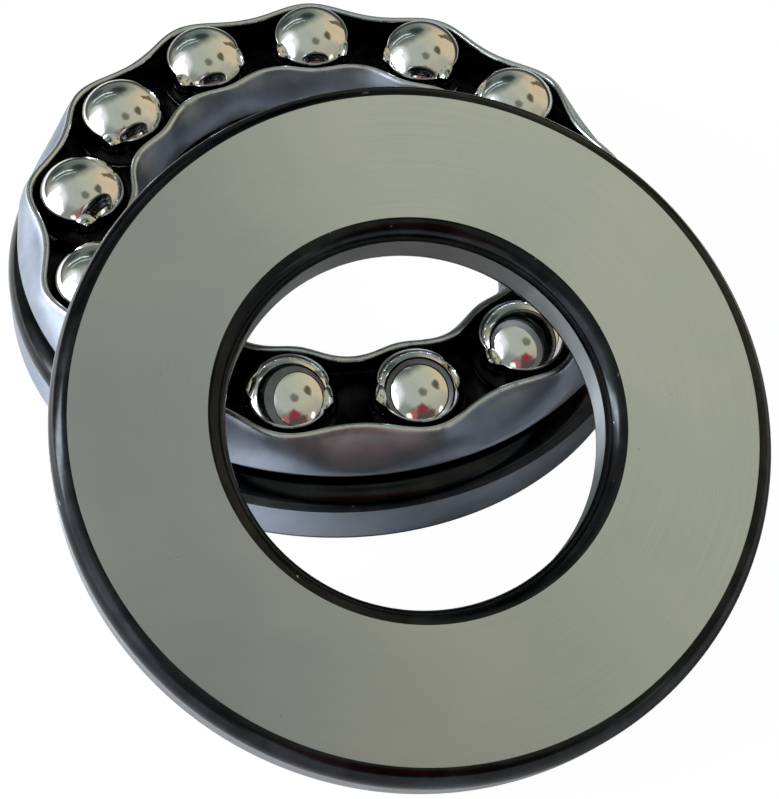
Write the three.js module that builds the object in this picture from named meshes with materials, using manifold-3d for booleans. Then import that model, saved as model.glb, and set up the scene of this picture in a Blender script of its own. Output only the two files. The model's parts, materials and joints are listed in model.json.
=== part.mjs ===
// Single-direction thrust ball bearing, taken apart for display.
// The housing washer lies flat with the caged balls seated in its raceway.
// The shaft washer leans across the near side, its ground seat face up and its raceway underneath.
// Millimetres, +Z up, origin at the centre of the whole footprint, on the table.
import * as THREE from "three";
import * as BufferGeometryUtils from "three/addons/utils/BufferGeometryUtils.js";
import Module from "manifold-3d";

const wasm = await Module();
wasm.setup();

// Boundary sizes
const outsideRadius = 47.5;
const shaftBoreRadius = 25;
const housingBoreRadius = 26;
const bearingHeight = 31;

// Balls and raceways
const ballCount = 13;
const ballRadius = 6.747;
const pitchRadius = 36.25;
const ballAngle = 12.7;
const ballFacets = [16, 10];
const raceRadius = 7.29;
const raceGap = 0.3;
const ballHeight = bearingHeight / 2 + raceGap;

// Washers: equal thickness, rounded edges on the seat side, fuller shoulders on the race side
const washerThickness = 10.3;
const outerShoulder = 3.4;
const boreShoulder = 2.6;
const shaftSeatEdge = 2.4;
const housingSeatEdge = 1.2;
const washerSegments = 65;
const edgeSteps = 2;
const raceSteps = 6;

// Cage: a pressed channel open upwards, both walls scalloped at the rim
const sheet = 1;
const cageFloor = 12.2;
const cageTop = 18.6;
const cageOuterFoot = 45.7;
const cageInnerFoot = 27.2;
const outerRimRadius = 43.15;
const innerRimRadius = 28.8;
const outerScallop = 1.15;
const innerScallop = 0.65;
const scallopPeak = 0.06;
const wallBulge = 0.45;
const rimRounding = 0.3;
const pocketGap = 0.35;
const pocketFacets = [16, 10];
const stationsPerBall = 6;

// Layout on the table
const ringCentre = [-5.7, 20.8];
const shaftWasherOffset = [11.9, -46];
const leanTilt = 22.6;
const leanAzimuth = -76.6;

const radians = THREE.MathUtils.degToRad;

const washerSteel = { color: 0xa3a598, roughness: 0.38, metalness: 1 };
const cageSteel = { color: 0x8b909c, roughness: 0.34, metalness: 1 };
const ballSteel = { color: 0xe2e4e4, roughness: 0.06, metalness: 1 };

function material(look) {
  return new THREE.MeshStandardMaterial(look);
}

// Quarter-round edge from one angle to another about a centre in the profile plane
function roundEdge(x, y, radius, fromDegrees, toDegrees, steps = edgeSteps) {
  const points = [];
  for (let i = 0; i <= steps; i += 1) {
    const angle = radians(fromDegrees + ((toDegrees - fromDegrees) * i) / steps);
    points.push(new THREE.Vector2(x + radius * Math.cos(angle), y + radius * Math.sin(angle)));
  }
  return points;
}

// Washer standing on its seat face at z = 0 with the raceway on top
function washerGeometry(boreRadius, seatEdge) {
  const top = washerThickness;
  const raceCentre = bearingHeight / 2 - ballRadius + raceRadius;
  const halfAngle = THREE.MathUtils.radToDeg(Math.acos((raceCentre - top) / raceRadius));
  const profile = [
    ...roundEdge(outsideRadius - seatEdge, seatEdge, seatEdge, -90, 0),
    ...roundEdge(outsideRadius - outerShoulder, top - outerShoulder, outerShoulder, 0, 90),
    ...roundEdge(pitchRadius, raceCentre, raceRadius, -90 + halfAngle, -90 - halfAngle, raceSteps),
    ...roundEdge(boreRadius + boreShoulder, top - boreShoulder, boreShoulder, 90, 180),
    ...roundEdge(boreRadius + seatEdge, seatEdge, seatEdge, 180, 270),
  ];
  profile.push(profile[0].clone());
  const geometry = new THREE.LatheGeometry(profile, washerSegments);
  geometry.rotateX(Math.PI / 2);
  return geometry;
}

// Scallop wave: +1 side at every ball, a little tighter there than between balls
function scallop(angle) {
  const turn = ballCount * (angle - radians(ballAngle));
  return Math.cos(turn) + scallopPeak * Math.cos(2 * turn);
}

// Cage section at one angle, as [radius, height] pairs going round the channel
function cageSection(angle) {
  const outerRim = outerRimRadius + outerScallop * scallop(angle);
  const innerRim = innerRimRadius - innerScallop * scallop(angle);
  const middle = (cageFloor + cageTop) / 2;
  const outerMiddle = (cageOuterFoot + outerRim) / 2 + wallBulge;
  const innerMiddle = (cageInnerFoot + innerRim) / 2 - wallBulge;
  const floorTop = cageFloor + sheet;
  return [
    [cageOuterFoot - rimRounding, cageFloor],
    [cageOuterFoot, cageFloor + rimRounding],
    [outerMiddle, middle],
    [outerRim, cageTop - rimRounding],
    [outerRim - rimRounding, cageTop],
    [outerRim - sheet, cageTop - rimRounding],
    [outerMiddle - sheet, middle],
    [cageOuterFoot - sheet - rimRounding, floorTop],
    [cageInnerFoot + sheet + rimRounding, floorTop],
    [innerMiddle + sheet, middle],
    [innerRim + sheet, cageTop - rimRounding],
    [innerRim + rimRounding, cageTop],
    [innerRim, cageTop - rimRounding],
    [innerMiddle, middle],
    [cageInnerFoot, cageFloor + rimRounding],
    [cageInnerFoot + rimRounding, cageFloor],
  ];
}

// Closed ring swept through the section at every station
function sweptRing(sectionAt, stations) {
  const positions = [];
  const indices = [];
  const size = sectionAt(0).length;
  for (let i = 0; i < stations; i += 1) {
    const angle = (2 * Math.PI * i) / stations;
    for (const [radius, height] of sectionAt(angle)) {
      positions.push(radius * Math.cos(angle), radius * Math.sin(angle), height);
    }
  }
  for (let i = 0; i < stations; i += 1) {
    const here = i * size;
    const next = ((i + 1) % stations) * size;
    for (let j = 0; j < size; j += 1) {
      const k = (j + 1) % size;
      indices.push(here + j, next + j, next + k);
      indices.push(here + j, next + k, here + k);
    }
  }
  const geometry = new THREE.BufferGeometry();
  geometry.setAttribute("position", new THREE.Float32BufferAttribute(positions, 3));
  geometry.setIndex(indices);
  return geometry;
}

function solidOf(geometry) {
  const bare = geometry.clone();
  bare.deleteAttribute("normal");
  bare.deleteAttribute("uv");
  const merged = BufferGeometryUtils.mergeVertices(bare, 1e-4);
  return new wasm.Manifold(
    new wasm.Mesh({
      numProp: 3,
      vertProperties: new Float32Array(merged.attributes.position.array),
      triVerts: new Uint32Array(merged.index.array),
    }),
  );
}

function geometryOf(solid) {
  const mesh = solid.getMesh();
  const geometry = new THREE.BufferGeometry();
  geometry.setAttribute("position", new THREE.BufferAttribute(mesh.vertProperties, 3));
  geometry.setIndex(new THREE.BufferAttribute(mesh.triVerts, 1));
  geometry.computeVertexNormals();
  return geometry;
}

function ballCentre(index) {
  const angle = radians(ballAngle + (360 * index) / ballCount);
  return new THREE.Vector3(
    pitchRadius * Math.cos(angle),
    pitchRadius * Math.sin(angle),
    ballHeight,
  );
}

// Channel with a round seat cut for each ball, so a ball passes neither down nor out
function cageGeometry() {
  let cage = solidOf(sweptRing(cageSection, ballCount * stationsPerBall));
  for (let index = 0; index < ballCount; index += 1) {
    const pocket = new THREE.SphereGeometry(ballRadius + pocketGap, ...pocketFacets);
    pocket.rotateX(Math.PI / 2);
    pocket.translate(...ballCentre(index));
    cage = cage.subtract(solidOf(pocket));
  }
  return geometryOf(cage);
}

const bearing = new THREE.Group();

const ringSet = new THREE.Group();
ringSet.position.set(ringCentre[0], ringCentre[1], 0);
bearing.add(ringSet);

const housingWasher = new THREE.Mesh(
  washerGeometry(housingBoreRadius, housingSeatEdge),
  material(washerSteel),
);
housingWasher.name = "housing_washer";
ringSet.add(housingWasher);

const cage = new THREE.Mesh(cageGeometry(), material(cageSteel));
cage.name = "cage";
ringSet.add(cage);

for (let index = 0; index < ballCount; index += 1) {
  const ball = new THREE.Mesh(new THREE.SphereGeometry(ballRadius, ...ballFacets), material(ballSteel));
  ball.geometry.rotateX(Math.PI / 2);
  ball.name = `ball_${String(index + 1).padStart(2, "0")}`;
  ball.position.copy(ballCentre(index));
  ringSet.add(ball);
}

// Shaft washer: turned over so that its seat face looks up, tilted, and resting on its shoulder
const tilt = radians(leanTilt);
const seatHeight =
  (washerThickness - outerShoulder) * Math.cos(tilt) +
  (outsideRadius - outerShoulder) * Math.sin(tilt) +
  outerShoulder;
const lean = new THREE.Group();
lean.position.set(
  ringCentre[0] + shaftWasherOffset[0],
  ringCentre[1] + shaftWasherOffset[1],
  seatHeight,
);
lean.rotation.set(0, 0, radians(leanAzimuth));
bearing.add(lean);

const shaftWasher = new THREE.Mesh(
  washerGeometry(shaftBoreRadius, shaftSeatEdge),
  material(washerSteel),
);
shaftWasher.name = "shaft_washer";
shaftWasher.rotation.y = tilt + Math.PI;
lean.add(shaftWasher);

export default bearing;
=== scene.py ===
"""Looks for the thrust ball bearing: turned washers, pressed cage, mirror balls, floor and light."""

import json
import math

import bmesh
import bpy
from mathutils import Matrix, Vector

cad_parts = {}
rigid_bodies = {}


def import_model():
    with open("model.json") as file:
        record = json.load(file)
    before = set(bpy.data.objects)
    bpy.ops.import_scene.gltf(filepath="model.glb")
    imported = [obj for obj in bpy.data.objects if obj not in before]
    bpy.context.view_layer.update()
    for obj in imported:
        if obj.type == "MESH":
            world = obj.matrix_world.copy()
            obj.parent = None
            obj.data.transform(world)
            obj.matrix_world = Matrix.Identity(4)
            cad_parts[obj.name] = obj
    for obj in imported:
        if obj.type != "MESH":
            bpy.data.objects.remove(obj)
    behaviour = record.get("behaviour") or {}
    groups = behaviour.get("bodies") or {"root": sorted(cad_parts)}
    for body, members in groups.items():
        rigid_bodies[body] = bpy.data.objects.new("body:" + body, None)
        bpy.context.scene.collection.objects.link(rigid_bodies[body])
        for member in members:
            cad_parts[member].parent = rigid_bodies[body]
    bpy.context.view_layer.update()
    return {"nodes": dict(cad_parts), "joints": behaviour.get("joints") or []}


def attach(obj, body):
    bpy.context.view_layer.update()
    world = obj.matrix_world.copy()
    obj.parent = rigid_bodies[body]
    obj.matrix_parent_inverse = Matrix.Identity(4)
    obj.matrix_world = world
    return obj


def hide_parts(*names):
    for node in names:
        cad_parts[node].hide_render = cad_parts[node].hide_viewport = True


MM = 0.001
OWN_SPACE = Matrix.Identity(4)

# Washers and balls: millimetres, degrees where an angle is named
OUTSIDE_RADIUS = 47.5
SHAFT_BORE = 25.0
HOUSING_BORE = 26.0
WASHER_THICKNESS = 10.3
OUTER_SHOULDER = 3.4
BORE_SHOULDER = 2.6
SHAFT_SEAT_EDGE = 2.4
HOUSING_SEAT_EDGE = 1.2
EDGE_START = 15  # degrees from the seat face at which a seat edge's arc begins
EDGE_END = 82  # and ends
HALF_HEIGHT = 15.5
BALL_RADIUS = 6.747
PITCH_RADIUS = 36.25
RACE_RADIUS = 7.29
SUPPORT = 0.12  # width of the narrow faces that keep a flat crisp beside an arc
SEAT_EDGE_STEPS = 10
OUTER_SHOULDER_STEPS = 12
BORE_SHOULDER_STEPS = 10
RACE_STEPS = 28
WASHER_SEGMENTS = 260
BALL_CUTS = 23
# Directions on the shaft washer's seat face: the side darkened by painted shade, and the side of the
# painted sheen
SHADED_SIDE = (-0.88, -0.47, 0.0)
BRIGHT_SIDE = (-0.17, 0.985, 0.0)

# Cage, in millimetres, heights above the table
SHEET = 1.0
CAGE_FLOOR = 12.2
CAGE_TOP = 18.6
OUTER_FOOT = 45.7
INNER_FOOT = 27.2
OUTER_RIM = 43.15
INNER_RIM = 28.8
OUTER_SCALLOP = 1.15
INNER_SCALLOP = 0.65
SCALLOP_PEAK = 0.06
WALL_BULGE = 0.45
WALL_STEPS = 8
LIP = 0.42
LIP_STEPS = 6
FOOT_BEND = 0.7
BEND_STEPS = 5
CORNER_WIDTH = 0.3
CORNER_RISE = 0.2
POCKET_GAP = 0.35
POCKET_CUTS = 15
STATIONS_PER_BALL = 24
CREASE = 38  # degrees between two faces above which the edge between them is sharp
SIDEWAYS = 0.35  # least sideways part of the normal of a wall's outer face
UPWARDS = 0.3  # least upward part of the normal of the rim

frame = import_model()
joints = {joint["name"]: joint for joint in frame["joints"]}
ball_names = sorted(name for name in frame["nodes"] if name.startswith("ball_"))
ring_axis = Vector(joints["cage_orbit"]["pos_m"])
ring_centre = Vector((ring_axis.x, ring_axis.y, 0.0))
first_ball = Vector(joints[ball_names[0] + "_roll"]["pos_m"]) - ring_axis
first_angle = math.atan2(first_ball.y, first_ball.x)
ball_height = ring_axis.z
seat_centre = Vector(joints["shaft_washer_spin"]["pos_m"])
seat_normal = Vector(joints["shaft_washer_spin"]["axis"])


# ---------------------------------------------------------------- node helpers

class Nodes:
    """A node tree with short calls for the nodes the materials share."""

    def __init__(self, tree):
        self.tree = tree
        tree.nodes.clear()

    def add(self, kind, **settings):
        node = self.tree.nodes.new(kind)
        for key, value in settings.items():
            setattr(node, key, value)
        return node

    def feed(self, socket, value):
        if isinstance(value, bpy.types.NodeSocket):
            self.tree.links.new(value, socket)
        else:
            socket.default_value = value

    def math(self, operation, a, b=0.0):
        node = self.add("ShaderNodeMath", operation=operation)
        self.feed(node.inputs[0], a)
        self.feed(node.inputs[1], b)
        return node.outputs[0]

    def vector_math(self, operation, a, b=(0, 0, 0)):
        node = self.add("ShaderNodeVectorMath", operation=operation)
        self.feed(node.inputs[0], a)
        self.feed(node.inputs[1], b)
        return node.outputs["Value" if operation in ("DOT_PRODUCT", "LENGTH") else "Vector"]

    def ramp(self, value, low, high, to_low=0.0, to_high=1.0):
        node = self.add("ShaderNodeMapRange", interpolation_type="SMOOTHSTEP")
        for socket, number in zip(node.inputs, (value, low, high, to_low, to_high)):
            self.feed(socket, number)
        return node.outputs[0]

    def mix(self, factor, a, b):
        node = self.add("ShaderNodeMix", data_type="RGBA")
        self.feed(node.inputs[0], factor)
        for socket, value in ((node.inputs[6], a), (node.inputs[7], b)):
            self.feed(socket, value if isinstance(value, bpy.types.NodeSocket) else (*value, 1.0))
        return node.outputs[2]

    def noise(self, vector, scale, detail=3.0, roughness=0.55, distortion=0.0):
        node = self.add("ShaderNodeTexNoise")
        self.feed(node.inputs["Vector"], vector)
        node.inputs["Scale"].default_value = scale
        node.inputs["Detail"].default_value = detail
        node.inputs["Roughness"].default_value = roughness
        node.inputs["Distortion"].default_value = distortion
        return node.outputs[0]

    def bump(self, height, strength, distance_mm):
        node = self.add("ShaderNodeBump")
        node.inputs["Strength"].default_value = strength
        node.inputs["Distance"].default_value = distance_mm * MM
        self.feed(node.inputs["Height"], height)
        return node.outputs["Normal"]


class Finish(Nodes):
    """A material: one Principled shader, with places in millimetres in the piece's own space.

    home is where that space lies in the object, for a piece whose mesh was moved to its place."""

    def __init__(self, name, metallic=1.0, home=OWN_SPACE):
        self.material = bpy.data.materials.new(name)
        self.material.use_nodes = True
        super().__init__(self.material.node_tree)
        self.shader = self.add("ShaderNodeBsdfPrincipled")
        self.shader.inputs["Metallic"].default_value = metallic
        self.output = self.add("ShaderNodeOutputMaterial")
        self.tree.links.new(self.shader.outputs[0], self.output.inputs[0])
        self.home = home
        into_home = home.inverted()
        mapping = self.add("ShaderNodeMapping")
        self.feed(mapping.inputs["Vector"], self.add("ShaderNodeTexCoord").outputs["Object"])
        self.feed(mapping.inputs["Location"], into_home.translation / MM)
        self.feed(mapping.inputs["Rotation"], into_home.to_euler())
        self.feed(mapping.inputs["Scale"], (1 / MM, 1 / MM, 1 / MM))
        self.place = mapping.outputs[0]
        parts = self.add("ShaderNodeSeparateXYZ")
        self.feed(parts.inputs[0], self.place)
        self.x, self.y, self.z = parts.outputs

    def around(self, radial, angular, axial):
        """Streaks that run round the axis: radius, angle and height, each with its own pitch."""
        radius = self.math("SQRT", self.math("ADD", self.math("MULTIPLY", self.x, self.x),
                                             self.math("MULTIPLY", self.y, self.y)))
        angle = self.math("ARCTAN2", self.y, self.x)
        joined = self.add("ShaderNodeCombineXYZ")
        self.feed(joined.inputs[0], self.math("MULTIPLY", radius, radial))
        self.feed(joined.inputs[1], self.math("MULTIPLY", angle, angular))
        self.feed(joined.inputs[2], self.math("MULTIPLY", self.z, axial))
        return joined.outputs[0]

    def tangent(self):
        """World direction that runs round the piece's axis."""
        sideways = self.add("ShaderNodeCombineXYZ")
        self.feed(sideways.inputs[0], self.math("MULTIPLY", self.y, -1.0))
        self.feed(sideways.inputs[1], self.x)
        turned = self.add("ShaderNodeMapping", vector_type="VECTOR")
        self.feed(turned.inputs["Vector"], sideways.outputs[0])
        self.feed(turned.inputs["Rotation"], self.home.to_euler())
        world = self.add("ShaderNodeVectorTransform", vector_type="VECTOR",
                         convert_from="OBJECT", convert_to="WORLD")
        self.feed(world.inputs[0], turned.outputs[0])
        return world.outputs[0]

    def set(self, color=None, roughness=None, normal=None):
        for socket, value in (("Base Color", color), ("Roughness", roughness), ("Normal", normal)):
            if value is not None:
                self.feed(self.shader.inputs[socket], value)
        return self.material


# ---------------------------------------------------------------- materials

def ground_face(name, shaded_side, bright_side, home=OWN_SPACE):
    """Flat ground steel: fine arcs, a painted fan-shaped sheen, painted shade on one side, a few small
    nicks.
    """
    f = Finish(name, home=home)
    # painted shade: mask that darkens the face towards one side
    tone_mask = f.ramp(f.vector_math("DOT_PRODUCT", f.place, shaded_side), -46.0, 46.0)
    arcs = f.noise(f.around(9.0, 1.4, 0.0), scale=1.0, detail=4.0, roughness=0.7)
    smudge = f.noise(f.place, scale=0.03, detail=4.0, roughness=0.55, distortion=0.4)
    haze = f.noise(f.place, scale=0.35, detail=3.0, roughness=0.5, distortion=0.3)
    spots = f.noise(f.place, scale=0.55, detail=1.0, roughness=0.5, distortion=2.5)
    nicks = f.math("MULTIPLY", f.ramp(spots, 0.80, 0.83), f.ramp(haze, 0.45, 0.6))
    # tone of the face's lit side, and the darker tone of its painted shade, each varied by smudges
    lit_tone = f.mix(f.ramp(smudge, 0.34, 0.7), (0.750, 0.780, 0.835), (0.830, 0.855, 0.900))
    shaded_tone = f.mix(f.ramp(smudge, 0.34, 0.7), (0.450, 0.472, 0.535), (0.530, 0.535, 0.565))
    color = f.mix(tone_mask, lit_tone, shaded_tone)
    # painted sheen: the face is lighter towards the bright side and warm-tinted on the opposite side
    outwards = f.vector_math("NORMALIZE", f.vector_math("MULTIPLY", f.place, (1, 1, 0)))
    fan = f.vector_math("DOT_PRODUCT", outwards, bright_side)
    color = f.mix(f.ramp(fan, 0.72, 1.0, 0.0, 0.30), color, (0.98, 0.98, 0.98))
    color = f.mix(f.ramp(fan, -0.80, -1.0, 0.0, 0.22), color, (0.92, 0.80, 0.76))
    color = f.mix(f.ramp(arcs, 0.3, 0.8, 0.0, 0.22), color, (0.46, 0.475, 0.49))
    color = f.mix(f.math("MULTIPLY", nicks, 0.6), color, (0.16, 0.17, 0.16))
    roughness = f.math("ADD", f.ramp(smudge, 0.3, 0.7, 0.27, 0.34), f.ramp(arcs, 0.3, 0.8, -0.02, 0.05))
    height = f.math("SUBTRACT", f.math("MULTIPLY", arcs, 0.5), nicks)
    return f.set(color, roughness, f.bump(height, strength=0.10, distance_mm=0.02))


def turned_wall(name, light, dark, roughness, home=OWN_SPACE):
    """Bore and outside diameter: ground round the axis, so that highlights stretch along it."""
    f = Finish(name, home=home)
    f.shader.inputs["Anisotropic"].default_value = 0.92
    f.shader.inputs["Anisotropic Rotation"].default_value = 0.25
    f.feed(f.shader.inputs["Tangent"], f.tangent())
    lines = f.noise(f.around(0.0, 1.0, 11.0), scale=1.0, detail=4.0, roughness=0.7)
    stain = f.noise(f.place, scale=0.08, detail=3.0, roughness=0.6, distortion=0.4)
    color = f.mix(f.ramp(stain, 0.35, 0.7), dark, light)
    color = f.mix(f.ramp(lines, 0.35, 0.75, 0.0, 0.3), color, dark)
    rough = f.math("ADD", f.ramp(stain, 0.3, 0.7, roughness, roughness + 0.08),
                   f.ramp(lines, 0.3, 0.7, -0.02, 0.04))
    return f.set(color, rough, f.bump(lines, strength=0.15, distance_mm=0.02))


def black_edge(name, home):
    """Rounded edges left black from hardening, glossy with oil, nicked back to bright steel."""
    f = Finish(name, home=home)
    patches = f.noise(f.place, scale=0.16, detail=4.0, roughness=0.6, distortion=0.5)
    fine = f.noise(f.place, scale=2.6, detail=3.0, roughness=0.6)
    nick_spots = f.noise(f.around(0.9, 14.0, 0.9), scale=1.0, detail=2.0, roughness=0.5)
    nicks = f.math("MULTIPLY", f.ramp(nick_spots, 0.735, 0.76), f.ramp(patches, 0.45, 0.55))
    color = f.mix(f.ramp(patches, 0.35, 0.7), (0.020, 0.022, 0.024), (0.036, 0.040, 0.044))
    color = f.mix(nicks, color, (0.60, 0.61, 0.60))
    roughness = f.math("ADD", f.ramp(patches, 0.3, 0.7, 0.11, 0.17), f.ramp(fine, 0.3, 0.7, 0.0, 0.05))
    height = f.math("SUBTRACT", f.math("MULTIPLY", fine, 0.4), nicks)
    return f.set(color, roughness, f.bump(height, strength=0.12, distance_mm=0.05))


def raceway(name, home):
    """Lapped groove: polished, with a dark colour that is painted shade."""
    f = Finish(name, home=home)
    lines = f.noise(f.around(14.0, 0.8, 6.0), scale=1.0, detail=4.0, roughness=0.65)
    # painted shade: the groove's dark colour
    color = f.mix(f.ramp(lines, 0.3, 0.75), (0.21, 0.215, 0.22), (0.13, 0.135, 0.14))
    roughness = f.ramp(lines, 0.25, 0.8, 0.10, 0.20)
    return f.set(color, roughness, f.bump(lines, strength=0.08, distance_mm=0.01))


def cage_outside():
    """Pressed satin sheet, blue-grey with a painted bluish reflection, drawing marks, a bright rim lip
    of wear and painted highlight.
    """
    f = Finish("cage_outside")
    cloud = f.noise(f.place, scale=0.11, detail=4.0, roughness=0.6, distortion=0.5)
    draw = f.noise(f.around(0.6, 26.0, 0.5), scale=1.0, detail=3.0, roughness=0.6)
    grain = f.noise(f.place, scale=5.5, detail=2.0, roughness=0.5)
    # bright lip at the rim: partly rubbed wear, partly painted highlight
    rub_and_gleam = f.noise(f.place, scale=0.8, detail=3.0, roughness=0.6)
    lip = f.ramp(f.z, CAGE_TOP - 0.75, CAGE_TOP - 0.12)
    wear_and_highlight = f.math("MULTIPLY", lip, f.ramp(rub_and_gleam, 0.25, 0.45))
    # blue-grey sheet colour, made bluer by a painted bluish reflection
    color = f.mix(f.ramp(cloud, 0.32, 0.7), (0.30, 0.345, 0.430), (0.43, 0.480, 0.580))
    color = f.mix(f.ramp(draw, 0.4, 0.8, 0.0, 0.25), color, (0.26, 0.275, 0.32))
    color = f.mix(f.math("MULTIPLY", wear_and_highlight, 0.85), color, (0.76, 0.80, 0.86))
    radius = f.vector_math("LENGTH", f.vector_math("MULTIPLY", f.place, (1, 1, 0)))
    bore_side = f.ramp(radius, 33.0, 31.0)
    roughness = f.math("SUBTRACT", f.ramp(cloud, 0.3, 0.7, 0.33, 0.43), f.math("MULTIPLY", wear_and_highlight, 0.12))
    roughness = f.math("ADD", roughness, f.math("MULTIPLY", bore_side, 0.08))
    height = f.math("ADD", f.math("MULTIPLY", grain, 0.5), draw)
    return f.set(color, roughness, f.bump(height, strength=0.12, distance_mm=0.03))


def cage_inside():
    """The channel between the walls, dark with painted shade, lighter near the rim."""
    f = Finish("cage_inside")
    tone_mask = f.noise(f.place, scale=0.3, detail=4.0, roughness=0.6, distortion=0.6)
    pits = f.noise(f.place, scale=3.0, detail=2.0, roughness=0.5)
    lip = f.ramp(f.z, CAGE_TOP - 0.6, CAGE_TOP - 0.15)
    # painted shade: near black in the channel and underside, lighter near the rim
    color = f.mix(f.ramp(tone_mask, 0.3, 0.75), (0.006, 0.006, 0.007), (0.028, 0.029, 0.032))
    color = f.mix(f.math("MULTIPLY", lip, 0.6), color, (0.40, 0.41, 0.40))
    roughness = f.ramp(tone_mask, 0.3, 0.7, 0.24, 0.42)
    return f.set(color, roughness, f.bump(pits, strength=0.15, distance_mm=0.03))


def ball_mirror():
    """Lapped mirror with a breath of oil and a few fine hairlines."""
    f = Finish("ball_mirror")
    tone_mask = f.noise(f.place, scale=0.22, detail=4.0, roughness=0.6, distortion=0.8)
    hair = f.noise(f.place, scale=6.0, detail=5.0, roughness=0.75, distortion=1.5)
    color = f.mix(f.ramp(tone_mask, 0.35, 0.75), (0.90, 0.905, 0.90), (0.80, 0.805, 0.80))
    roughness = f.math("ADD", f.ramp(tone_mask, 0.45, 0.8, 0.015, 0.06), f.ramp(hair, 0.6, 0.8, 0.0, 0.03))
    return f.set(color, roughness, f.bump(tone_mask, strength=0.012, distance_mm=0.02))


# ---------------------------------------------------------------- mesh helpers

def arc(centre, radius, start, end, steps):
    """Points on an arc in the profile plane, angles in degrees."""
    points = []
    for i in range(steps + 1):
        angle = math.radians(start + (end - start) * i / steps)
        points.append((centre[0] + radius * math.cos(angle), centre[1] + radius * math.sin(angle)))
    return points


def swept_ring(name, section_at, stations, materials, slots):
    """Closed ring of quads through section_at(angle); slots gives each section edge its material."""
    mesh = bpy.data.meshes.new(name)
    vertices = []
    faces = []
    size = len(slots)
    for i in range(stations):
        angle = 2 * math.pi * i / stations
        for radius, height in section_at(angle):
            vertices.append((radius * math.cos(angle) * MM, radius * math.sin(angle) * MM, height * MM))
    for i in range(stations):
        here = i * size
        following = (i + 1) % stations * size
        for j in range(size):
            k = (j + 1) % size
            faces.append((here + j, following + j, following + k, here + k))
    mesh.from_pydata(vertices, [], faces)
    for material in materials:
        mesh.materials.append(material)
    mesh.polygons.foreach_set("material_index", list(slots) * stations)
    mesh.shade_smooth()
    return place_object(name, mesh)


def place_object(name, mesh):
    piece = bpy.data.objects.new(name, mesh)
    bpy.context.scene.collection.objects.link(piece)
    return piece


def washer(name, bore, seat_edge, materials):
    """Washer on its seat face at height 0, raceway up. Materials: face, wall, edge, race, land.

    A seat edge is an arc from EDGE_START to EDGE_END that is seat_edge wide."""
    face, wall, edge, race, land = range(5)
    edge_radius = seat_edge / (math.sin(math.radians(EDGE_END)) - math.sin(math.radians(EDGE_START)))
    edge_depth = edge_radius * (math.cos(math.radians(EDGE_START)) - math.cos(math.radians(EDGE_END)))
    edge_in = edge_radius * math.cos(math.radians(EDGE_START))
    edge_back = seat_edge + edge_radius * math.sin(math.radians(EDGE_START))
    top = WASHER_THICKNESS
    race_centre = HALF_HEIGHT - BALL_RADIUS + RACE_RADIUS
    half = math.degrees(math.acos((race_centre - top) / RACE_RADIUS))
    race_edge = RACE_RADIUS * math.sin(math.radians(half))
    outer = OUTSIDE_RADIUS
    runs = [
        (arc((outer - edge_back, edge_in), edge_radius, EDGE_START - 90, EDGE_END - 90,
             SEAT_EDGE_STEPS), edge),
        ([(outer, edge_depth + SUPPORT), (outer, top - OUTER_SHOULDER - SUPPORT)], wall),
        (arc((outer - OUTER_SHOULDER, top - OUTER_SHOULDER), OUTER_SHOULDER, 0, 90,
             OUTER_SHOULDER_STEPS), edge),
        ([(outer - OUTER_SHOULDER - SUPPORT, top), (PITCH_RADIUS + race_edge + SUPPORT, top)], land),
        (arc((PITCH_RADIUS, race_centre), RACE_RADIUS, -90 + half, -90 - half, RACE_STEPS), race),
        ([(PITCH_RADIUS - race_edge - SUPPORT, top), (bore + BORE_SHOULDER + SUPPORT, top)], land),
        (arc((bore + BORE_SHOULDER, top - BORE_SHOULDER), BORE_SHOULDER, 90, 180,
             BORE_SHOULDER_STEPS), edge),
        ([(bore, top - BORE_SHOULDER - SUPPORT), (bore, edge_depth + SUPPORT)], wall),
        (arc((bore + edge_back, edge_in), edge_radius, 270 - EDGE_END, 270 - EDGE_START,
             SEAT_EDGE_STEPS), edge),
        ([(bore + seat_edge + SUPPORT, 0.0), (outer - seat_edge - SUPPORT, 0.0)], face),
    ]
    profile = []
    slots = []
    for index, (points, slot) in enumerate(runs):
        profile += points
        slots += [slot] * (len(points) - 1)
        after = runs[(index + 1) % len(runs)][1]
        slots.append(after if slot == edge or slot == race else slot)
    return swept_ring(name, lambda angle: profile, WASHER_SEGMENTS, materials, slots)


def scallop(angle):
    turn = len(ball_names) * (angle - first_angle)
    return math.cos(turn) + SCALLOP_PEAK * math.cos(2 * turn)


def wall_line(foot, rim, bulge):
    """Outside face of a cage wall from foot to rim, as (radius, height), gently bowed."""
    low = CAGE_FLOOR + FOOT_BEND
    high = CAGE_TOP - LIP
    points = []
    for i in range(WALL_STEPS + 1):
        t = i / WALL_STEPS
        points.append((foot + (rim - foot) * t + 4 * bulge * t * (1 - t), low + (high - low) * t))
    return points


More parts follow.
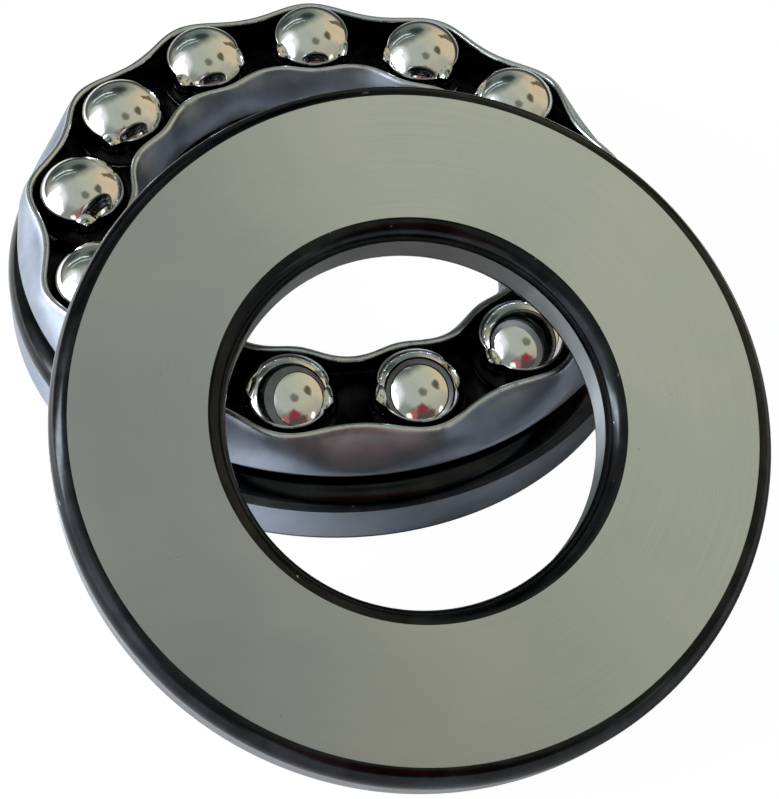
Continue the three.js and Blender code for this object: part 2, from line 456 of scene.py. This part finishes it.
def cage_section(angle):
    """Channel section at one angle: outer wall, lip, inside, floor, inner wall and underside."""
    wave = scallop(angle)
    outer = wall_line(OUTER_FOOT, OUTER_RIM + OUTER_SCALLOP * wave, WALL_BULGE)
    inner = wall_line(INNER_FOOT, INNER_RIM - INNER_SCALLOP * wave, -WALL_BULGE)
    floor_top = CAGE_FLOOR + SHEET
    bend = arc((OUTER_FOOT - FOOT_BEND, CAGE_FLOOR + FOOT_BEND), FOOT_BEND, -90, 0,
               BEND_STEPS)[:-1]
    bend_back = arc((INNER_FOOT + FOOT_BEND, CAGE_FLOOR + FOOT_BEND), FOOT_BEND, 180, 270,
                    BEND_STEPS)[1:]
    outer_lip = arc((outer[-1][0] - SHEET / 2, outer[-1][1]), SHEET / 2, 0, 180, LIP_STEPS)[1:-1]
    inner_lip = arc((inner[-1][0] + SHEET / 2, inner[-1][1]), SHEET / 2, 0, 180, LIP_STEPS)[1:-1]
    outer_lip = [(r, outer[-1][1] + (z - outer[-1][1]) * 2 * LIP / SHEET) for r, z in outer_lip]
    inner_lip = [(r, inner[-1][1] + (z - inner[-1][1]) * 2 * LIP / SHEET) for r, z in inner_lip]
    inside_outer = [(r - SHEET, max(z, floor_top + CORNER_RISE)) for r, z in reversed(outer)]
    inside_inner = [(r + SHEET, max(z, floor_top + CORNER_RISE)) for r, z in inner]
    floor_line = [(inside_outer[-1][0] - CORNER_WIDTH, floor_top),
                  (inside_inner[0][0] + CORNER_WIDTH, floor_top)]
    upwards = bend + outer + outer_lip + inside_outer
    downwards = inside_inner + inner_lip + list(reversed(inner)) + bend_back
    return upwards + floor_line + downwards


def ball_mesh(name, radius, cuts):
    """Sphere blown up from a divided cube, so that its quads are even all over."""
    build = bmesh.new()
    bmesh.ops.create_cube(build, size=2.0)
    bmesh.ops.subdivide_edges(build, edges=build.edges[:], cuts=cuts, use_grid_fill=True)
    for vertex in build.verts:
        x, y, z = vertex.co
        spread = Vector((
            x * math.sqrt(max(0, 1 - y * y / 2 - z * z / 2 + y * y * z * z / 3)),
            y * math.sqrt(max(0, 1 - z * z / 2 - x * x / 2 + z * z * x * x / 3)),
            z * math.sqrt(max(0, 1 - x * x / 2 - y * y / 2 + x * x * y * y / 3)),
        ))
        vertex.co = spread.normalized() * radius * MM
    mesh = bpy.data.meshes.new(name)
    build.to_mesh(mesh)
    build.free()
    mesh.shade_smooth()
    return mesh


def cut_pockets(cage):
    """Takes a ball seat out of the channel at every ball."""
    cutter_mesh = ball_mesh("pocket", BALL_RADIUS + POCKET_GAP, POCKET_CUTS)
    cutters = bpy.data.collections.new("pockets")
    bpy.context.scene.collection.children.link(cutters)
    for index in range(len(ball_names)):
        angle = first_angle + 2 * math.pi * index / len(ball_names)
        cutter = bpy.data.objects.new(f"pocket_{index}", cutter_mesh)
        cutter.location = (PITCH_RADIUS * math.cos(angle) * MM, PITCH_RADIUS * math.sin(angle) * MM,
                           ball_height)
        cutters.objects.link(cutter)
    modifier = cage.modifiers.new("pockets", "BOOLEAN")
    modifier.operation = "DIFFERENCE"
    modifier.solver = "EXACT"
    modifier.operand_type = "COLLECTION"
    modifier.collection = cutters
    bpy.context.view_layer.update()
    cut = bpy.data.meshes.new_from_object(cage.evaluated_get(bpy.context.evaluated_depsgraph_get()))
    cage.modifiers.clear()
    cage.data = cut
    for cutter in list(cutters.objects):
        bpy.data.objects.remove(cutter)
    bpy.data.collections.remove(cutters)


def paint_cage(mesh):
    """Outer faces and rims get the first material, the channel, its seats and underside the second."""
    for face in mesh.polygons:
        centre = face.center / MM
        radius = math.hypot(centre.x, centre.y)
        outward = (face.normal.x * centre.x + face.normal.y * centre.y) / radius
        outer_side = radius > PITCH_RADIUS and outward > SIDEWAYS
        bore_side = radius < PITCH_RADIUS and outward < -SIDEWAYS
        rim = face.normal.z > UPWARDS and centre.z > CAGE_TOP - LIP
        face.material_index = 0 if outer_side or bore_side or rim else 1


# ---------------------------------------------------------------- pieces

def upright(centre):
    return Matrix.Translation(centre)


def make_piece(piece, matrix, body, slot, *nodes):
    piece.matrix_world = matrix
    bpy.context.view_layer.update()
    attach(piece, body)
    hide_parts(*nodes)


def washer_steels(label, face_steel, wall_steel, home=OWN_SPACE):
    """Materials of one washer, in the order that washer() takes them."""
    # painted shade: the land between shoulder and groove is given a dark colour
    land_steel = turned_wall(label + "_land", (0.16, 0.165, 0.17), (0.09, 0.093, 0.098), 0.22, home)
    return (face_steel, wall_steel, black_edge(label + "_edge", home), raceway(label + "_race", home),
            land_steel)


housing_face = ground_face("housing_seat", (0, 1, 0), (1, 0, 0))
# painted bluish reflection: the housing washer's walls are tinted bluer than the shaft washer's walls
# of the same steel
housing_wall = turned_wall("housing_wall", (0.43, 0.485, 0.60), (0.32, 0.365, 0.455), 0.26)
housing = washer("housing_ring", HOUSING_BORE, HOUSING_SEAT_EDGE,
                 washer_steels("housing", housing_face, housing_wall))
make_piece(housing, upright(ring_centre), "housing_washer", "washer_steel", "housing_washer")

turned_over = (-seat_normal).to_track_quat("Z", "Y").to_matrix().to_4x4()
into_washer = turned_over.inverted()
shaft_home = Matrix.Translation(seat_centre) @ turned_over
shaft_face = ground_face("shaft_seat", into_washer @ Vector(SHADED_SIDE),
                         into_washer @ Vector(BRIGHT_SIDE), shaft_home)
shaft_wall = turned_wall("shaft_wall", (0.45, 0.47, 0.50), (0.34, 0.36, 0.385), 0.46, shaft_home)
shaft = washer("shaft_ring", SHAFT_BORE, SHAFT_SEAT_EDGE,
               washer_steels("shaft", shaft_face, shaft_wall, shaft_home))
shaft.data.transform(shaft_home)
make_piece(shaft, OWN_SPACE, "shaft_washer", "washer_steel", "shaft_washer")

section_size = len(cage_section(0.0))
cage = swept_ring("cage_channel", cage_section, STATIONS_PER_BALL * len(ball_names),
                  (cage_outside(), cage_inside()), [0] * section_size)
cut_pockets(cage)
paint_cage(cage.data)
cage.data.set_sharp_from_angle(angle=math.radians(CREASE))
make_piece(cage, upright(ring_centre), "cage", "cage_steel", "cage")

mirror = ball_mirror()
shared_ball = ball_mesh("ball", BALL_RADIUS, BALL_CUTS)
shared_ball.materials.append(mirror)
for name in ball_names:
    ball = place_object("mirror_" + name, shared_ball.copy())
    centre = Vector(joints[name + "_roll"]["pos_m"])
    make_piece(ball, upright(centre), name, "ball_steel", name)


# ---------------------------------------------------------------- floor, light and camera

# Camera: degrees, metres and pixels
ELEVATION = 50.62
HEADING = 3.94
ROLL = 4.87
CAMERA_FROM_RING = Vector((-3.92, -214.51, 235.47)) * MM
FOCAL_PIXELS = 2085.3
FRAME_PIXELS = 779
SENSOR = 36.0

# Floor: metres for its half width and drop, millimetres for the regions, then strengths
FLOOR_HALF = 1.6
FLOOR_DROP = 0.0002
DARK_BEHIND = (85.0, 125.0)
SUNLIT_NEAR = (-95.0, -140.0)
SUNLIT_FAR = (-340.0, -250.0)
SUNLIT_FRONT = (-50.0, -10.0)
SUNLIT_BACK = (95.0, 60.0)
SUNLIT_FLOOR = 1.7
FLOOR_GLOW = 0.95
PAPER_GLOW = 1.03

# Softbox on the left: metres and watts
KEY_PLACE = (-0.80, -0.14, 0.36)
KEY_TARGET = (0, 0, 0.02)
KEY_SIZE = (0.5, 0.4)
KEY_WATTS = 16

# Room that the steel reflects. Directions are (azimuth, elevation) in degrees, azimuth 0 along +X.
WINDOW = (1.7, 1.8, 1.85)
WINDOW_CORE = (12.0, 12.6, 13.2)
ROOM_WARP = 0.28
ROOM_SHADE = 0.65

# Name, direction of the middle, radius of the full and of the fading part in degrees, colour
ROOM_PATCHES = (
    ("cool ceiling", (-150, 45), 28, 65, (0.41, 0.44, 0.39)),
    ("grey wall", (-120, 12), 8, 28, (0.25, 0.27, 0.25)),
    ("warm wall", (33, 22), 16, 44, (0.64, 0.53, 0.36)),
    ("back wall", (120, 30), 20, 46, (0.13, 0.16, 0.145)),
    ("dark cupboard", (101, 34), 4, 17, (0.03, 0.042, 0.038)),
    ("dark shelf", (129, 9), 4, 14, (0.05, 0.065, 0.06)),
    ("window haze", (194, 22), 14, 38, (0.85, 0.91, 0.93)),
    ("window", (198, 9), 20, 28, WINDOW),
    ("camera", (-68, 62), 4, 13, (0.17, 0.17, 0.13)),
    ("lamp head", (-1, 51), 4, 12, (0.11, 0.10, 0.06)),
    ("dark table", (-82, 2), 14, 36, (0.085, 0.075, 0.065)),
    ("brown box", (-58, 8), 5, 14, (0.11, 0.075, 0.055)),
    ("red cloth", (-77, 26), 6, 15, (0.27, 0.035, 0.05)),
    ("red box", (-98, 9), 7, 15, (0.38, 0.13, 0.13)),
    ("paper left", (-107, 5), 3, 8, (1.1, 1.1, 1.0)),
    ("paper right", (-34, 5), 3, 9, (1.3, 1.3, 1.2)),
)

# Name, directions of the two ends, half width in degrees, colour, and whether its outline is wavy
ROOM_BARS = (
    ("wooden door", (50, 32), (52, -6), 7, (0.17, 0.12, 0.07), True),
    ("far window", (148, 14), (116, 40), 1.7, (0.95, 1.05, 1.05), True),
    ("far frame", (152, 24), (112, 50), 1.0, (0.6, 0.66, 0.64), True),
    ("window core", (180, 4), (180, 38), 7, WINDOW_CORE, False),
)


def add_floor():
    """Pale paper: nearly white to the camera, and lit by the room where the steel reflects it."""
    mesh = bpy.data.meshes.new("floor")
    build = bmesh.new()
    bmesh.ops.create_grid(build, x_segments=8, y_segments=8, size=FLOOR_HALF)
    build.to_mesh(mesh)
    build.free()
    floor = place_object("floor", mesh)
    floor.location.z = -FLOOR_DROP
    f = Finish("floor_paper", metallic=0.0)
    fleck = f.noise(f.place, scale=0.02, detail=3.0)
    paper = f.mix(fleck, (0.85, 0.86, 0.88), (0.80, 0.81, 0.83))
    f.set(f.mix(f.ramp(f.y, *DARK_BEHIND), paper, (0.04, 0.05, 0.05)))
    f.shader.inputs["Roughness"].default_value = 0.9
    f.shader.inputs["Specular IOR Level"].default_value = 0.1
    sunlit = f.math("MULTIPLY", f.ramp(f.x, *SUNLIT_NEAR), f.ramp(f.y, *SUNLIT_FRONT))
    sunlit = f.math("MULTIPLY", sunlit, f.ramp(f.y, *SUNLIT_BACK))
    sunlit = f.math("MULTIPLY", sunlit, f.ramp(f.x, *SUNLIT_FAR))
    f.feed(f.shader.inputs["Emission Color"], (1.0, 1.0, 1.0, 1.0))
    f.feed(f.shader.inputs["Emission Strength"], f.math("MULTIPLY", sunlit, SUNLIT_FLOOR))
    glow = f.add("ShaderNodeEmission")
    glow.inputs["Strength"].default_value = PAPER_GLOW
    blend = f.add("ShaderNodeMixShader")
    camera_rays = f.add("ShaderNodeLightPath").outputs["Is Camera Ray"]
    f.feed(blend.inputs[0], f.math("MULTIPLY", camera_rays, FLOOR_GLOW))
    f.tree.links.new(f.shader.outputs[0], blend.inputs[1])
    f.tree.links.new(glow.outputs[0], blend.inputs[2])
    f.tree.links.new(blend.outputs[0], f.output.inputs[0])
    mesh.materials.append(f.material)


def add_softbox():
    """Key light on the left. It lights the floor and the steel but doesn't show as a reflection."""
    light = bpy.data.lights.new("key", "AREA")
    light.shape = "RECTANGLE"
    light.size, light.size_y = KEY_SIZE
    light.energy = KEY_WATTS
    holder = bpy.data.objects.new("key", light)
    bpy.context.scene.collection.objects.link(holder)
    holder.location = KEY_PLACE
    aim = Vector(KEY_TARGET) - Vector(KEY_PLACE)
    holder.rotation_euler = aim.to_track_quat("-Z", "Y").to_euler()
    holder.visible_camera = False
    holder.visible_glossy = False


def towards(azimuth, elevation):
    """Unit vector, from degrees."""
    a, e = math.radians(azimuth), math.radians(elevation)
    return Vector((math.cos(e) * math.cos(a), math.cos(e) * math.sin(a), math.sin(e)))


def add_room():
    """The studio that the steel reflects: pale ceiling, dark back wall, a window on the left."""
    world = bpy.data.worlds.new("studio")
    bpy.context.scene.world = world
    world.use_nodes = True
    n = Nodes(world.node_tree)
    output = n.add("ShaderNodeOutputWorld")
    direction = n.add("ShaderNodeTexCoord").outputs["Generated"]
    parts = n.add("ShaderNodeSeparateXYZ")
    n.feed(parts.inputs[0], direction)
    height = parts.outputs[2]
    wander = n.add("ShaderNodeTexNoise")
    n.feed(wander.inputs["Vector"], direction)
    wander.inputs["Scale"].default_value = 3.2
    wander.inputs["Detail"].default_value = 3.0
    offset = n.vector_math("SUBTRACT", wander.outputs["Color"], (0.5, 0.5, 0.5))
    offset = n.vector_math("MULTIPLY", offset, (ROOM_WARP, ROOM_WARP, ROOM_WARP))
    uneven = n.vector_math("NORMALIZE", n.vector_math("ADD", direction, offset))
    room = n.mix(n.ramp(height, -0.05, 0.22), (0.20, 0.19, 0.165), (0.42, 0.40, 0.32))
    room = n.mix(n.ramp(height, 0.35, 0.75), room, (0.47, 0.48, 0.355))
    for label, place, inner, outer, color in ROOM_PATCHES:
        facing = n.vector_math("DOT_PRODUCT", uneven, towards(*place))
        facing.node.label = label
        mask = n.ramp(facing, math.cos(math.radians(outer)), math.cos(math.radians(inner)))
        room = n.mix(mask, room, color)
    for label, first, last, half_width, color, wavy in ROOM_BARS:
        one, two = towards(*first), towards(*last)
        half_length = one.angle(two) / 2
        lie = uneven if wavy else direction
        across = n.math("ABSOLUTE", n.vector_math("DOT_PRODUCT", lie, one.cross(two).normalized()))
        across.node.label = label
        edge = math.sin(math.radians(half_width))
        along = n.vector_math("DOT_PRODUCT", lie, (one + two).normalized())
        mask = n.math("MULTIPLY", n.ramp(across, edge, edge * 0.5),
                      n.ramp(along, math.cos(half_length + 0.03), math.cos(half_length)))
        room = n.mix(mask, room, color)
    paths = n.add("ShaderNodeLightPath")
    fill = n.math("MULTIPLY", paths.outputs["Is Diffuse Ray"], ROOM_SHADE)
    seen = n.mix(paths.outputs["Is Camera Ray"], n.mix(fill, room, (0.0, 0.0, 0.0)), (1.0, 1.0, 1.0))
    background = n.add("ShaderNodeBackground")
    n.feed(background.inputs["Color"], seen)
    n.feed(output.inputs[0], background.outputs[0])


def add_camera():
    camera = bpy.data.cameras.new("camera")
    camera.sensor_fit = "HORIZONTAL"
    camera.sensor_width = SENSOR
    camera.lens = FOCAL_PIXELS / FRAME_PIXELS * SENSOR
    camera.clip_start = 0.01
    camera.clip_end = 20
    holder = bpy.data.objects.new("camera", camera)
    bpy.context.scene.collection.objects.link(holder)
    turn = (
        Matrix.Rotation(math.radians(-HEADING), 4, "Z")
        @ Matrix.Rotation(math.radians(90 - ELEVATION), 4, "X")
        @ Matrix.Rotation(math.radians(ROLL), 4, "Z")
    )
    holder.matrix_world = Matrix.Translation(ring_centre + CAMERA_FROM_RING) @ turn
    bpy.context.scene.camera = holder


add_floor()
add_room()
add_softbox()
add_camera()
bpy.context.scene.view_settings.view_transform = "Standard"
